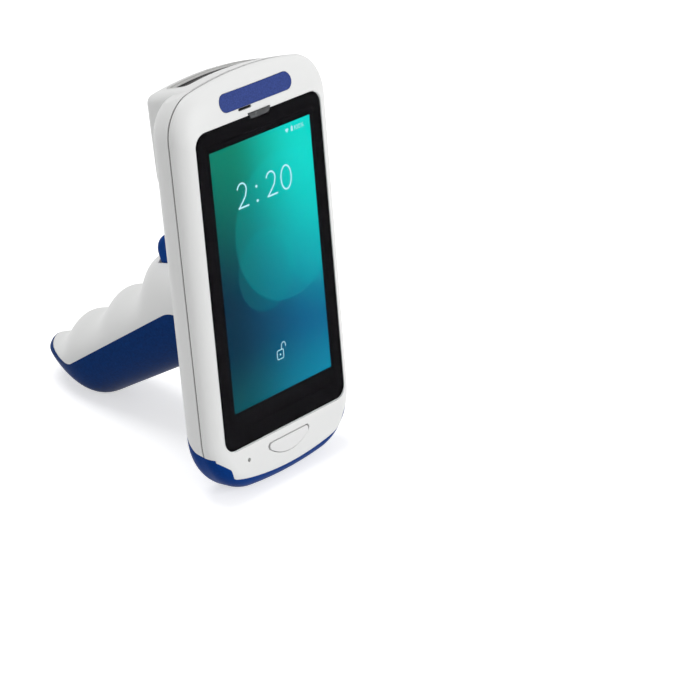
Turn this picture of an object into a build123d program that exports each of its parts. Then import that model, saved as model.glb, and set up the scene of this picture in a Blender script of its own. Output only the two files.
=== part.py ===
from build123d import *
from math import cos, pi, radians, sin, sqrt, tan
import os

# Barcode data terminal with a pistol grip, in millimetres.
# Working axes while modelling: x to the right, y into the body, z up along the display,
# origin at the middle of the display's face. At the end the part is leaned back until it
# stands on the bumper and the butt of the grip.

# ---- body ----
body_width = 79.1
side_taper = 0.5
body_crown = 71.1
body_foot = -79.6
crown_radius = 165.0
crown_slope = 15.5
foot_radius = 170.0
top_corner = 15.0
foot_corner = 23.0
face_corner = 9.0
bezel_y = -0.4
seam_y = 5.6
seam_gap = 0.5
gasket_inset = 0.3
back_y = 16.4
cheek_depth = 6.25
cheek_width = 9.2
brow_height = 13.0
chin_height = 6.4
back_radius = 7.0
wall = 1.8
fit = 0.1

# ---- display ----
side_bezel = 6.35
glass_width = body_width - 2 * side_bezel
screen_border = 6.45
screen_width = glass_width - 2 * screen_border
screen_height = 95.2
glass_top = 55.6
glass_foot = -61.0
glass_corner = 5.0
glass_thick = 0.9
glass_proud = 0.5
tape_thick = 0.2
ledge_thick = 1.85
panel_margin = 1.5
panel_thick = 2.0
panel_tail = 4.5
frame_thick = 0.8

# ---- head ----
head_half = 27.0
head_back = 28.5
head_slope = 11.0
head_fall = 1.6
head_corner = 3.4
head_radius = 3.0
head_clear = 1.5
head_foot_radius = 9.0
window_width = 41.6
window_depth = 10.6
window_y = 18.9
window_corner = 3.0
window_drop = 2.3
window_rim = 1.8
window_step = 0.7
window_floor = 1.6
window_glass = 1.2

# ---- bumper ----
bumper_thick = 2.0
bumper_wall = 1.4
bumper_side = -62.7
bumper_slope = 17.5
bumper_back = -53.0
tongue_half = 29.5
tongue_rise = 4.3
tongue_depth = 2.2
tongue_shoulder = -67.2
tongue_corner = -71.6

# ---- keys, badge and small openings on the front ----
badge_width = 37.8
badge_height = 6.3
badge_z = 62.6
badge_thick = 0.6
badge_proud = 0.12
key_half = 12.8
key_top = -64.4
key_rise = 5.9
key_gap = 0.25
key_proud = 0.35
key_flange = 0.9
key_flange_thick = 0.6
key_travel = 0.5
slot_x = -7.0
slot_z = 58.8
slot_width = 6.7
slot_height = 1.0
mic_x = -22.0
mic_z = -66.5
mic_bore = 1.5
lens_half = 5.8
lens_height = 1.2
lens_rise = 0.8

# ---- inside the body ----
screw_edge = 7.05
screw_x = body_width / 2 - screw_edge
screw_high = 32.0
screw_low = -40.0
boss_radius = 2.7
boss_end = 9.0
screw_head_radius = 2.1
screw_head_thick = 1.5
screw_radius = 1.0
board_y = 7.2
board_thick = 1.0
board_edge = 4.55
board_half = body_width / 2 - board_edge
board_high = 52.0
board_low = -58.0
bay_floor = 10.0
bay_skin = 1.2
battery_width = 51.4
battery_height = 59.4
battery_thick = 9.0
battery_z = -10.0
bay_clear = 0.3
engine_width = 21.0
engine_height = 12.0
engine_depth = 13.0
engine_drop = 6.2
coil_z = -58.0
coil_radius = 13.0
speaker_y = 2.4
motor_radius = 2.6
motor_length = 9.0
motor_edge = 8.5
motor_x = screw_x - motor_edge
motor_z = -50.0
motor_clear = 1.5
antenna_thick = 0.3
contact_drop = 5.0

# ---- grip ----
grip_rake = 28.4
grip_y = 20.0
grip_z = -11.2
grip_half = 16.6
grip_wall = 2.2
grip_end = 97.6
butt_taper = 25.0
butt_blunt = 2.2
grip_split = 1.5
grip_waist = 2.6
shoulder_depth = 21.6
shoulder_end = 26.5
shoulder_run = 11.5
groove_pitch = 24.5
groove_depth = 1.8
first_crest = 50.6
crest_depth = 16.0
crest_fall = 0.047
palm_depth = 16.8
palm_fall = 0.062
palm_turn = 82.5
heel_flat = 1.2
butt_centre = 11.5
front_end = 81.5
front_end_slope = 47.0
front_end_radius = 6.0
collar_end = 12.5
collar_radius = 10.0
plate_half = 28.5
plate_thick = 5.75
plate_corner = 8.0
plate_screw_x = 20.0
plate_screw_clear = 3.5
plate_rim_high = 3.3
plate_rim_low = 3.6
plate_screw_high = battery_z + battery_height / 2 + plate_screw_clear
plate_screw_low = battery_z - battery_height / 2 - plate_screw_clear - 0.2
plate_high = plate_screw_high + plate_rim_high
plate_low = plate_screw_low - plate_rim_low
handle_screw_stations = (38.0, 82.0)
butt_round = 1.8
root_flare = 2.0
palm_sink = 3.5
mount_x = 11.0
mount_high = -6.0
mount_low = -25.0

# ---- trigger ----
trigger_half = 9.0
trigger_gap = 0.35
pivot_s = -1.0
pivot_w = 17.5
trigger_reach = 20.5
trigger_nose = 6.2
trigger_foot = 13.5
trigger_skin = 1.8
trigger_travel_room = 2.6
pin_radius = 1.25
pin_clear = 0.05
barrel_radius = 2.6
barrel_x = 7.2
cheek_rib = 2.2
face_low = 25.0
face_high = 29.8
face_hollow = 0.8
trigger_edge = 2.2
spring_wire = 0.7
spring_half = 2.2
switch_s = 12.0
shelf_w = 8.6

# ---- stance ----
foot_flat = 0.3

# ---- worked out from the sizes above ----
glass_front = bezel_y - glass_proud
glass_back = glass_front + glass_thick
ledge_front = glass_back + tape_thick
ledge_back = ledge_front + ledge_thick
side_x = body_width / 2
rake_cos = cos(radians(grip_rake))
rake_sin = sin(radians(grip_rake))
plate_y = back_y + 0.05
grip_root = plate_y + plate_thick
head_foot = plate_high + head_clear
battery_y = bay_floor + bay_skin + fit
key_radius = (key_half ** 2 + key_rise ** 2) / (2 * key_rise)
chin_inner = bezel_y + wall
lens_seat = ledge_front + 1.0
key_mid = key_top - key_rise / 2
key_stem_end = chin_inner + fit + key_flange_thick + 0.5
key_board_y = key_stem_end + key_travel + 1.2
well_floor = boss_end + 1.2
coil_y = back_y - bumper_thick - bumper_wall - 0.9
pin_half = trigger_half + trigger_gap + 2.0

# The grip is drawn in its own side plane: s runs down the handle, w towards the fingers.
grip_side = Plane(origin=(0, grip_y, grip_z), x_dir=(0, rake_cos, -rake_sin), z_dir=(1, 0, 0))


def slab(sketch, front, back):
    """A sketch seen from the front (x right, z up) made solid between two depths."""
    plane = Plane(origin=(0, back, 0), x_dir=(1, 0, 0), z_dir=(0, -1, 0))
    return extrude(plane * sketch, amount=back - front, dir=(0, -1, 0))


def side_prism(sketch, half):
    """A sketch drawn as (y, z) made solid from -half to +half across the part."""
    plane = Plane(origin=(0, 0, 0), x_dir=(0, 1, 0), z_dir=(1, 0, 0))
    return extrude(plane * sketch, amount=half, both=True)


def grip_prism(sketch, half):
    """A sketch in the grip's side plane made solid from -half to +half."""
    return extrude(grip_side * sketch, amount=half, both=True)


def peg(x, z, radius, front, back):
    """A round peg along the depth axis."""
    return slab(Pos(x, z) * Circle(radius), front, back)


def block(x, z, width, height, front, back):
    """A plain block centred on x and z."""
    return slab(Pos(x, z) * Rectangle(width, height), front, back)


def soft_block(x, z, width, height, radius, front, back):
    """A block with rounded corners, centred on x and z."""
    return slab(Pos(x, z) * RectangleRounded(width, height, radius), front, back)


def body_outline(inset=0.0, share=0.0):
    """Front view of the body, from its full outline (share 0) in to the rim of its flat face (1)."""
    side = side_x - inset - (cheek_width - inset) * share
    crown = body_crown - inset - (brow_height - inset) * share
    foot = body_foot + inset + (chin_height - inset) * share
    spread = (crown - foot) / 2 * tan(radians(side_taper))
    wide = side + spread
    narrow = side - spread
    shape = make_face(Polyline((-wide, crown), (wide, crown), (narrow, foot), (-narrow, foot), close=True))
    shape &= Pos(0, crown - crown_radius) * Circle(crown_radius)
    shape &= Pos(0, foot + foot_radius) * Circle(foot_radius)
    high = top_corner - inset - (top_corner - inset - face_corner) * share
    low = foot_corner - inset - (foot_corner - inset - face_corner) * share
    shape = fillet(shape.vertices().sort_by(Axis.Y)[-2:], high)
    return fillet(shape.vertices().sort_by(Axis.Y)[:2], low)


def rounded_face(inset):
    """The front of the body: its outline grows along a quarter of an ellipse, out to the sides."""
    turn = bezel_y + cheek_depth
    sections = []
    for angle in (0, 8, 18, 30, 45, 60, 75, 90):
        y = turn - (cheek_depth - inset) * cos(radians(angle))
        plane = Plane(origin=(0, y, 0), x_dir=(1, 0, 0), z_dir=(0, -1, 0))
        sections.append(plane * body_outline(inset, 1 - sin(radians(angle))))
    return loft(sections)


def housing(inset=0.0):
    """The body without its scan head, moved in by a wall."""
    turn = bezel_y + cheek_depth
    back = slab(body_outline(inset), turn, back_y - inset)
    rim = back.faces().sort_by(Axis.Y)[-1].edges()
    back = fillet(rim, max(back_radius - inset, 1.5))
    return (back + rounded_face(inset)) & sloping_top(inset, crown_slope)


def sloping_top(inset, slope):
    """All that lies under the crowned top, which slopes down towards the back."""
    turn = bezel_y + cheek_depth
    centre = body_crown - crown_radius
    upper = Pos(0, crown_radius) * Rectangle(400, 400)
    plane = Plane(origin=(0, turn, centre), x_dir=(1, 0, 0), z_dir=(0, -1, 0))
    down = (0, cos(radians(slope)), -sin(radians(slope)))
    behind = extrude(plane * (Circle(crown_radius - inset) & upper), amount=80, dir=down)
    ahead = extrude(plane * (Circle(crown_radius) & upper), amount=20, dir=(0, -1, 0))
    return behind + ahead


def head_profile(inset):
    """Side view of the head, as (y, z): its back falls in a straight line to a round foot."""
    back = head_back - inset
    top = body_crown + 5
    low = head_foot + inset
    face = make_face(Polyline(
        (back_radius, top),
        (back, top),
        (back - head_fall, low),
        (back_radius, low),
        close=True,
    ))
    foot = face.vertices().filter_by(lambda v: v.Y < low + 1 and v.X > back_radius + 1)
    return fillet(foot, head_foot_radius - inset)


def head(inset=0.0):
    """The raised back of the scan head, running down to the battery bay."""
    side = head_half - inset
    high = body_crown - 9
    solid = side_prism(head_profile(inset), side) & sloping_top(inset, head_slope)
    corners = solid.edges().filter_by(lambda e: e.center().Z > high and abs(e.center().X) > side - 1)
    corners = corners.filter_by(lambda e: e.length > 8)
    solid = fillet(corners, head_corner - inset)
    rim = solid.edges().filter_by(lambda e: e.center().Y > head_back - inset - 6)
    rim = rim.filter_by(lambda e: e.center().Z > head_foot + inset + 2)
    rim = rim.filter_by(lambda e: abs(e.center().X) > side - 6 or e.center().Z > high)
    return fillet(rim, head_radius - inset)


def tongue_zone():
    """Front view of the white chin that laps over the bumper."""
    low = body_foot + tongue_rise
    side_z = bumper_side + tongue_depth * tan(radians(bumper_slope))
    rim_x = side_x - cheek_width * 0.2
    left = [
        (-rim_x - 20, 80),
        (-rim_x - 20, side_z + 20),
        (-rim_x, side_z),
        (-tongue_half - 1.8, tongue_shoulder),
        (-tongue_half, tongue_corner),
    ]
    right = [(-x, z) for x, z in reversed(left)]
    face = make_face([
        Polyline(*left),
        ThreePointArc(left[-1], (0, low), right[0]),
        Polyline(*right),
        Line(right[-1], left[0]),
    ])
    soft = face.vertices().filter_by(lambda v: abs(abs(v.X) - tongue_half - 1) < 1.5)
    return fillet(soft, 2.2)


def bumper_zone():
    """Everything that belongs to the bumper, out to and past the body's skin."""
    rise = tan(radians(bumper_slope))
    knee = back_y - back_radius
    knee_z = bumper_side + knee * rise
    side = make_face(Polyline(
        (-20, bumper_side - 20 * rise),
        (knee, knee_z),
        (knee + 6, bumper_back),
        (60, bumper_back),
        (60, body_foot - 20),
        (-20, body_foot - 20),
        close=True,
    ))
    side = fillet(side.vertices().filter_by(lambda v: abs(v.X - knee - 3) < 4), 4)
    zone = side_prism(side, body_width)
    return zone - slab(tongue_zone(), -20, tongue_depth)


# ---- shapes that several pieces share ----
skin = housing()
core = housing(bumper_thick)
bulge = head()
above_bumper = Pos(0, 0, bumper_back + 2 + 150) * Box(300, 300, 300)
hollow = (housing(wall) & above_bumper) + housing(bumper_thick + bumper_wall)
bulge_hollow = head(wall)
bumper_solid = (skin & bumper_zone()) - core


def half_space_front(y):
    return Pos(0, y - 150, 0) * Box(400, 300, 400)


def half_space_back(y):
    return Pos(0, y + 150, 0) * Box(400, 300, 400)


def glass_outline(margin=0.0):
    middle = (glass_top + glass_foot) / 2
    height = glass_top - glass_foot + 2 * margin
    return Pos(0, middle) * RectangleRounded(glass_width + 2 * margin, height, glass_corner + margin)


def lens_outline(margin=0.0):
    """Small trapezoid in the glass's top edge, where the status light shines through."""
    half = lens_half + margin
    low = glass_top - lens_height - margin
    high = glass_top + lens_rise + margin
    return make_face(Polyline((-half, high), (half, high), (half - 1.2, low), (1.2 - half, low), close=True))


def key_outline(margin=0.0):
    """Segment of a circle with its flat side up."""
    disc = Pos(0, key_top - key_rise + key_radius) * Circle(key_radius + margin)
    disc &= Pos(0, key_top + margin - 50) * Rectangle(200, 100)
    return fillet(disc.vertices(), 1.4)


def panel_outline(margin=0.0):
    width = screen_width + 2 * panel_margin + 2 * margin
    height = screen_height + 2 * panel_margin + panel_tail + 2 * margin
    return Pos(0, -panel_tail / 2) * Rectangle(width, height)


def corner_points():
    return [(x, z) for x in (-screw_x, screw_x) for z in (screw_high, screw_low)]


def front_shell():
    shell = (skin & half_space_front(seam_y)) - bumper_solid
    shell -= hollow & half_space_back(ledge_back)
    shell -= slab(glass_outline(fit), -20, ledge_front)
    shell -= slab(panel_outline(0.3), -20, 20)
    shell -= badge_recess()
    shell -= slab(lens_outline(fit), -20, lens_seat)
    shell -= slab(key_outline(key_gap), -20, 20) & half_space_front(ledge_back + 1)
    shell -= soft_block(slot_x, slot_z, slot_width, slot_height, 0.45, -20, 20)
    shell -= peg(mic_x, mic_z, mic_bore / 2, -20, 20)
    shell -= chin_pocket()
    for x, z in corner_points():
        shell += peg(x, z, boss_radius, ledge_back - 0.4, boss_end)
        shell -= peg(x, z, screw_radius, ledge_back + 1, boss_end + 1)
    return shell


def chin_pocket():
    """Thins the chin from behind so that the key and its board have room."""
    return soft_block(0, key_mid, 56, 9.0, 2.0, chin_inner, seam_y + 1)


def badge_outline(margin=0.0):
    height = badge_height + 2 * margin
    return Pos(0, badge_z) * SlotOverall(badge_width + 2 * margin, height)


def badge_recess():
    return slab(badge_outline(fit), -20, 20) - housing(badge_thick)


def badge_plate():
    raised = housing(-badge_proud)
    return (slab(badge_outline(), -20, seam_y) & raised) - housing(badge_thick)


def rear_shell():
    outer = (skin & half_space_back(seam_y + seam_gap)) + bulge - bumper_solid
    shell = outer - hollow - (bulge_hollow & half_space_back(back_radius - 1))
    shell += bay_walls() & outer
    shell -= battery_bay()
    shell -= slab(contact_outline(fit), bay_floor - 1, bay_floor + bay_skin + 1)
    shell -= window_pocket()
    for x, z in corner_points():
        shell += peg(x, z, screw_head_radius + 1.2, boss_end + 0.05, back_y) & outer
        shell -= peg(x, z, screw_head_radius + 0.2, well_floor, back_y + 5)
        shell -= peg(x, z, screw_radius + 0.1, boss_end - 1, back_y)
    for x, z in plate_points():
        shell += peg(x, z, 2.6, bay_floor, back_y - 1)
        shell -= peg(x, z, screw_radius, bay_floor + 1, back_y + 1)
    return shell


def bay_walls():
    return block(0, battery_z, battery_width + 2 * bay_clear + 2 * bay_skin,
                 battery_height + 2 * bay_clear + 2 * bay_skin, bay_floor, back_y - 0.5)


def battery_bay():
    return block(0, battery_z, battery_width + 2 * bay_clear, battery_height + 2 * bay_clear,
                 bay_floor + bay_skin, back_y + 20)


def plate_points():
    return [(x, z) for x in (-plate_screw_x, plate_screw_x) for z in (plate_screw_high, plate_screw_low)]


def window_frame():
    """Plane of the sloping window, its origin at the middle of the window on the skin."""
    fall = radians(head_slope)
    drop = (window_y - bezel_y - cheek_depth) * tan(fall)
    return Plane(origin=(0, window_y, body_crown - drop), x_dir=(1, 0, 0), z_dir=(0, sin(fall), cos(fall)))


def window_prism(grow, low, high):
    """Rounded prism square to the window, from low to high above the skin."""
    plane = window_frame().offset(low)
    corner = max(window_corner + grow, 0.6)
    outline = RectangleRounded(window_width + 2 * grow, window_depth + 2 * grow, corner)
    return extrude(plane * outline, amount=high - low)


def window_pocket():
    return window_prism(fit, -window_drop - window_floor - window_glass, 10)


def window_bezel():
    low = -window_drop - window_floor - window_glass + fit
    ring = window_prism(0, low, 10) & (bulge + skin)
    ring -= window_prism(-window_rim * 0.5, -window_step, 10)
    ring -= window_prism(-window_rim, -window_drop - window_glass, 10)
    return ring - window_prism(-window_rim - 1.2, low - 5, 10)


def scan_window():
    return window_prism(-window_rim - fit, -window_drop - window_glass, -window_drop)


def bumper():
    return bumper_solid - housing(bumper_thick - fit / 2)


def seam_gasket():
    """Flat ring between the shells, a hair inside their edges."""
    ring = slab(body_outline(gasket_inset), seam_y, seam_y + seam_gap)
    ring -= slab(body_outline(wall + bumper_wall), seam_y - 1, seam_y + seam_gap + 1)
    return ring - bumper_solid


def cover_glass():
    glass = slab(glass_outline(), glass_front, glass_back)
    front_rim = glass.faces().sort_by(Axis.Y)[0].edges()
    glass = fillet(front_rim, 0.4)
    return glass - slab(lens_outline(fit), -20, 20)


def glass_tape():
    ring = slab(glass_outline(-0.15), glass_back, ledge_front)
    ring -= slab(panel_outline(0.5), -20, 20)
    return ring - slab(lens_outline(0.3), -20, 20)


def display_panel():
    return slab(panel_outline(), glass_back, glass_back + panel_thick)


def display_frame():
    front = ledge_back + fit
    plate = soft_block(0, 2.8, 2 * board_half, 106.4, 3.0, front, front + frame_thick)
    for x, z in corner_points():
        plate -= peg(x, z, boss_radius + fit, 0, 10)
    for z in (-30.0, 0.0, 30.0):
        plate -= soft_block(0, z + 2.0, 40.0, 22.0, 3.0, 0, 10)
    return plate & housing(wall + fit)


def status_lens():
    return slab(lens_outline(), glass_front + 0.1, lens_seat)


def speaker_mesh():
    return soft_block(slot_x, slot_z, slot_width + 1.6, slot_height + 1.6, 0.6, speaker_y - 0.3, speaker_y)


def earpiece_speaker():
    return soft_block(slot_x, slot_z + 1.0, 12.0, 6.0, 1.5, speaker_y, speaker_y + 2.4)


def scan_key():
    cap = slab(key_outline(), bezel_y - key_proud, chin_inner + fit + key_flange_thick)
    edge = cap.faces().sort_by(Axis.Y)[0].edges()
    cap = fillet(edge, 0.3)
    flange = slab(key_outline(key_flange), chin_inner + fit, chin_inner + fit + key_flange_thick)
    stem = peg(0, key_mid, 1.5, chin_inner, key_stem_end)
    return cap + flange + stem


def key_board():
    return soft_block(-2.0, key_mid, 50.0, 8.0, 1.0, key_board_y, key_board_y + 0.8)


def key_switch():
    base = soft_block(0, key_mid, 5.0, 5.0, 0.6, key_stem_end + key_travel + 0.35, key_board_y)
    dome = peg(0, key_mid, 1.6, key_stem_end + key_travel + fit, key_stem_end + key_travel + 0.35)
    return base + dome


def microphone():
    boot = peg(mic_x, mic_z, 1.8, chin_inner, key_board_y)
    return boot - peg(mic_x, mic_z, mic_bore / 2, 0, key_board_y - 0.8)


def main_board():
    middle = (board_high + board_low) / 2
    board = soft_block(0, middle, 2 * board_half, board_high - board_low, 4.0, board_y, board_y + board_thick)
    for x, z in corner_points():
        board -= peg(x, z, boss_radius + 0.6, 0, 20)
        board -= block(x * 1.2, z, 8.0, 2 * boss_radius + 1.2, 0, 20)
    window = motor_length + 2 * motor_clear
    board -= soft_block(motor_x, motor_z, window, window, 1.0, 0, 20)
    return board


def board_shields():
    """Pressed cans over the processor, radio and power circuits."""
    back = board_y + board_thick
    cans = []
    for x, z, width, height in ((-13.0, 0.0, 24.0, 20.0), (13.0, -1.0, 18.0, 16.0), (0.0, -24.0, 34.0, 18.0)):
        can = soft_block(x, z, width, height, 1.0, back, back + 1.6)
        can -= soft_block(x, z, width - 0.5, height - 0.5, 0.8, back - 1, back + 1.35)
        cans.append(can)
    return Compound(children=cans)


def display_flex():
    """Ribbon from the panel's tail, folded round the frame's lower edge to the board."""
    start = -screen_height / 2 - panel_margin - panel_tail
    return block(0, start + 6, 14.0, 10.0, board_y - 0.3, board_y)


def scan_engine():
    """Camera and lamp module that looks out through the window."""
    engine = engine_box()
    face = window_frame().offset(-engine_drop)
    barrel = extrude(face * (Pos(-4.5, 0) * Circle(2.9)), amount=1.0)
    lamp = extrude(face * (Pos(5.5, 0) * RectangleRounded(5.0, 5.0, 0.8)), amount=0.6)
    return engine + barrel + lamp


def engine_box():
    plane = window_frame().offset(-engine_drop - engine_height)
    return extrude(plane * RectangleRounded(engine_width, engine_depth, 0.8), amount=engine_height)


def engine_bracket():
    """Folded plate that holds the engine to the main board."""
    plane = window_frame().offset(-engine_drop - engine_height - 1.0)
    foot_front = board_y + board_thick
    shelf = extrude(plane * (Pos(0, -2.0) * Rectangle(engine_width + 8.0, engine_depth + 4.0)), amount=1.0)
    shelf &= half_space_back(foot_front)
    foot = soft_block(0, board_high - 4.0, 24.0, 13.0, 1.0, foot_front, foot_front + 1.0)
    return shelf + foot - engine_box()


def battery_pack():
    pack = soft_block(0, battery_z, battery_width, battery_height, 2.5, battery_y, battery_y + battery_thick)
    return fillet(pack.faces().sort_by(Axis.Y)[-1].edges(), 0.8)


def contact_outline(margin=0.0):
    top = battery_z + battery_height / 2
    return Pos(0, top - contact_drop) * RectangleRounded(18.0 + 2 * margin, 5.0 + 2 * margin, 0.8)


def battery_contacts():
    """Contact block that stands on the main board and comes through the floor of the bay."""
    top = battery_z + battery_height / 2
    block_solid = slab(contact_outline(), board_y + board_thick, bay_floor + bay_skin)
    for x in (-6.0, 0.0, 6.0):
        block_solid += soft_block(x, top - contact_drop, 2.4, 3.6, 0.4, bay_floor, battery_y)
    return block_solid


def charging_coil():
    ring = peg(0, coil_z, coil_radius, coil_y, coil_y + 0.8)
    return ring - peg(0, coil_z, coil_radius * 0.5, coil_y - 1, coil_y + 2)


def coil_ferrite():
    return soft_block(0, coil_z, 2 * coil_radius + 1.0, 2 * coil_radius + 1.0, 2.0, coil_y - 0.7, coil_y)


def antenna():
    """Radio flex bonded to the inside of the left wall."""
    knee = back_y - back_radius
    strip = block(-side_x, 8.0, 20.0, 36.0, knee - 3.1, knee - 0.1)
    return (housing(wall) & strip) - housing(wall + antenna_thick)


def vibration_motor():
    centre = ledge_back + fit + frame_thick + motor_radius
    return Pos(motor_x, centre, motor_z) * Cylinder(motor_radius, motor_length, rotation=(0, 90, 0))


def shell_screws():
    screws = []
    for x, z in corner_points():
        top = peg(x, z, screw_head_radius, well_floor, well_floor + screw_head_thick)
        shank = peg(x, z, screw_radius, boss_end - 5.0, well_floor)
        socket = slab(Pos(x, z) * RegularPolygon(0.9, 6), well_floor + screw_head_thick - 0.8, well_floor + 5)
        screws.append(top + shank - socket)
    return Compound(children=screws)


# ---- the grip ----
def ramp(value, low, high):
    """Smooth step from 0 at low to 1 at high."""
    share = min(max((value - low) / (high - low), 0.0), 1.0)
    return share * share * (3 - 2 * share)


def finger_depth(s):
    """Height of the finger side above the grip's line, with its shoulder and grooves."""
    grooved = crest_depth - crest_fall * (s - first_crest)
    grooved += groove_depth * cos(2 * pi * (s - first_crest) / groove_pitch)
    blend = ramp(s, shoulder_end - 2.0, shoulder_end - 2.0 + shoulder_run)
    depth = shoulder_depth + (grooved - shoulder_depth) * blend
    turn = grip_end - butt_round
    if s > turn:
        share = (s - turn) / butt_round
        depth = butt_centre + (depth - butt_centre) * sqrt(max(1 - share * share, 0.0))
    return depth


def palm_side(s):
    """Depth of the palm side under the grip's line, rounding up into the butt."""
    depth = palm_depth - palm_fall * (s - first_crest)
    if s > palm_turn:
        share = (s - palm_turn) / (grip_end - palm_turn)
        depth = (depth + butt_centre) * max(1 - share ** heel_flat, 0.0) ** (1 / heel_flat) - butt_centre
    return depth


def half_width(s):
    width = grip_half
    start = grip_end - butt_taper
    if s > start:
        share = (s - start) / (grip_end - start)
        width = grip_half * max(1 - share ** butt_blunt, 0.0) ** (1 / butt_blunt)
    return width + root_flare * ramp(-s, -12.0, 12.0)


def grip_section(s, inset=0.0):
    """Section across the grip: two half ellipses that meet at the widest place."""
    middle = grip_waist + (butt_centre - grip_waist) * ramp(s, palm_turn, grip_end)
    half = max(half_width(s) - inset, 0.8)
    finger = max(finger_depth(s) - middle - inset, 0.8)
    palm = max(palm_side(s) + middle - inset, 0.8)
    place = s
    if s > palm_turn:
        place = s - inset * (s - palm_turn) / (grip_end - palm_turn)
    origin = (0, grip_y + place * rake_cos + middle * rake_sin, grip_z - place * rake_sin + middle * rake_cos)
    plane = Plane(origin=origin, x_dir=(1, 0, 0), z_dir=(0, -rake_cos, rake_sin))
    square = 0.64 - 0.22 * ramp(s, shoulder_end, shoulder_end + shoulder_run)
    fingers = [(half, 0), (half, 0.55 * finger), (square * half, finger), (0, finger)]
    mirrored = [(-x, w) for x, w in reversed(fingers)]
    return plane * make_face([
        Bezier(*fingers),
        Bezier(*mirrored),
        EllipticalCenterArc((0, 0), half, palm, 180, arc_size=180),
    ])


def grip_solid(inset=0.0):
    stations = [-22.0, -8.0, 6.0, 18.0, 28.0, 34.0, 40.0]
    step = groove_pitch / 4
    s = first_crest - step / 2
    while s < grip_end - 10.0:
        stations.append(s)
        s += step
    stations += [grip_end - rest for rest in (8.0, 5.0, 2.8, 1.2, 0.3)]
    solid = loft([grip_section(s, inset) for s in stations])
    return solid & half_space_back(grip_root)


def front_zone():
    """The grip's front part: a collar at the root and all above the split, short of the butt."""
    rise = 60.0
    over = rise * tan(radians(front_end_slope))
    zone = make_face(Polyline(
        (-60, grip_split),
        (front_end, grip_split),
        (front_end + over, grip_split + rise),
        (-60, grip_split + rise),
        close=True,
    ))
    zone += Pos((collar_end - 60) / 2, 0) * Rectangle(collar_end + 60, 120)
    corner = zone.vertices().filter_by(lambda v: v.X > collar_end + 1 and v.Y < grip_split + 1)
    zone = fillet(corner, front_end_radius)
    corner = zone.vertices().filter_by(lambda v: abs(v.X - collar_end) < 1 and abs(v.Y - grip_split) < 1)
    zone = fillet(corner, collar_radius)
    return grip_prism(zone, 60)


grip_outer = grip_solid()
grip_inner = grip_solid(grip_wall)
grip_lining = grip_solid(grip_wall - 0.2)
front_part = front_zone()


def handle_peg(s, radius, low, high, x=0.0):
    """Round peg square to the grip's line, from palm towards fingers."""
    origin = (x, grip_y + s * rake_cos + low * rake_sin, grip_z - s * rake_sin + low * rake_cos)
    plane = Plane(origin=origin, x_dir=(1, 0, 0), z_dir=(0, rake_sin, rake_cos))
    return extrude(plane * Circle(radius), amount=high - low)


def pivot_disc(radius):
    """Circle round the trigger's pivot, in the grip's side plane."""
    return Pos(pivot_s, pivot_w) * Circle(radius)


def trigger_slot():
    """Opening in the front part that the trigger moves in."""
    low = trigger_foot - trigger_travel_room
    reach = pivot_disc(trigger_reach + trigger_gap) & Pos(0, low + 20) * Rectangle(80, 40)
    return grip_prism(reach, trigger_half + trigger_gap)


def grip_front_shell():
    shell = (grip_outer & front_part) - grip_inner
    for s in handle_screw_stations:
        shell += handle_peg(s, 3.0, grip_split, finger_depth(s) - 1.0) & grip_outer
        shell -= handle_peg(s, screw_radius, grip_split - 1, finger_depth(s) - 4.0)
    shell -= trigger_slot()
    for side in (-1, 1):
        shell += trigger_cheek(side)
    shell -= grip_prism(pivot_disc(pin_radius), pin_half)
    shell += switch_shelf()
    for x, z in mount_points():
        shell += (peg(x, z, 2.4, grip_root, grip_root + 7.0) & front_part & grip_outer) - trigger_slot()
        shell -= peg(x, z, screw_radius, grip_root - 1, grip_root + 5.0)
    return shell


def trigger_cheek(side):
    """Rib beside the trigger with the eye that carries its pin."""
    x = side * (trigger_half + trigger_gap + cheek_rib / 2)
    rib = Pos(pivot_s + 2.0, pivot_w - 2.0) * RectangleRounded(13.0, 13.0, 2.0)
    sheet = extrude(grip_side * rib, amount=cheek_rib / 2, both=True)
    return (Pos(x, 0, 0) * sheet) & grip_outer & half_space_back(grip_root)


def switch_shelf():
    """Shelf across the front part that carries the trigger's switch board."""
    shelf = Pos(switch_s - 2.0, shelf_w - 0.8) * Rectangle(20.0, 1.6)
    return grip_prism(shelf, grip_half) & grip_lining & half_space_back(grip_root)


def grip_palm_shell():
    shell = (grip_outer - front_part) - grip_inner
    for s in handle_screw_stations:
        shell += handle_peg(s, 3.4, -palm_side(s), grip_split - fit) & grip_outer
        shell -= handle_peg(s, 2.5, -palm_side(s) - 5, -palm_side(s) + palm_sink)
        shell -= handle_peg(s, screw_radius + 0.1, -palm_side(s) - 5, grip_split + 1)
    return shell


def grip_base():
    """Saddle that closes the battery bay and carries the grip."""
    middle = (plate_high + plate_low) / 2
    saddle = soft_block(0, middle, 2 * plate_half, plate_high - plate_low, plate_corner, plate_y, grip_root)
    saddle = fillet(saddle.faces().sort_by(Axis.Y)[-1].edges(), 2.5)
    saddle -= soft_block(0, battery_z, battery_width + 2 * bay_clear, battery_height + 2 * bay_clear, 2.5,
                         0, battery_y + battery_thick + bay_clear)
    for x, z in plate_points():
        saddle -= peg(x, z, screw_head_radius + 0.2, grip_root - screw_head_thick - 0.4, grip_root + 1)
        saddle -= peg(x, z, screw_radius + 0.1, 0, grip_root + 1)
    for x, z in mount_points():
        saddle -= peg(x, z, screw_radius + 0.1, 0, grip_root + 1)
    return saddle


def mount_points():
    high = [(-mount_x, mount_high), (mount_x, mount_high)]
    low = [(1 - mount_x, mount_low), (mount_x - 1, mount_low)]
    return high + low


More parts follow.
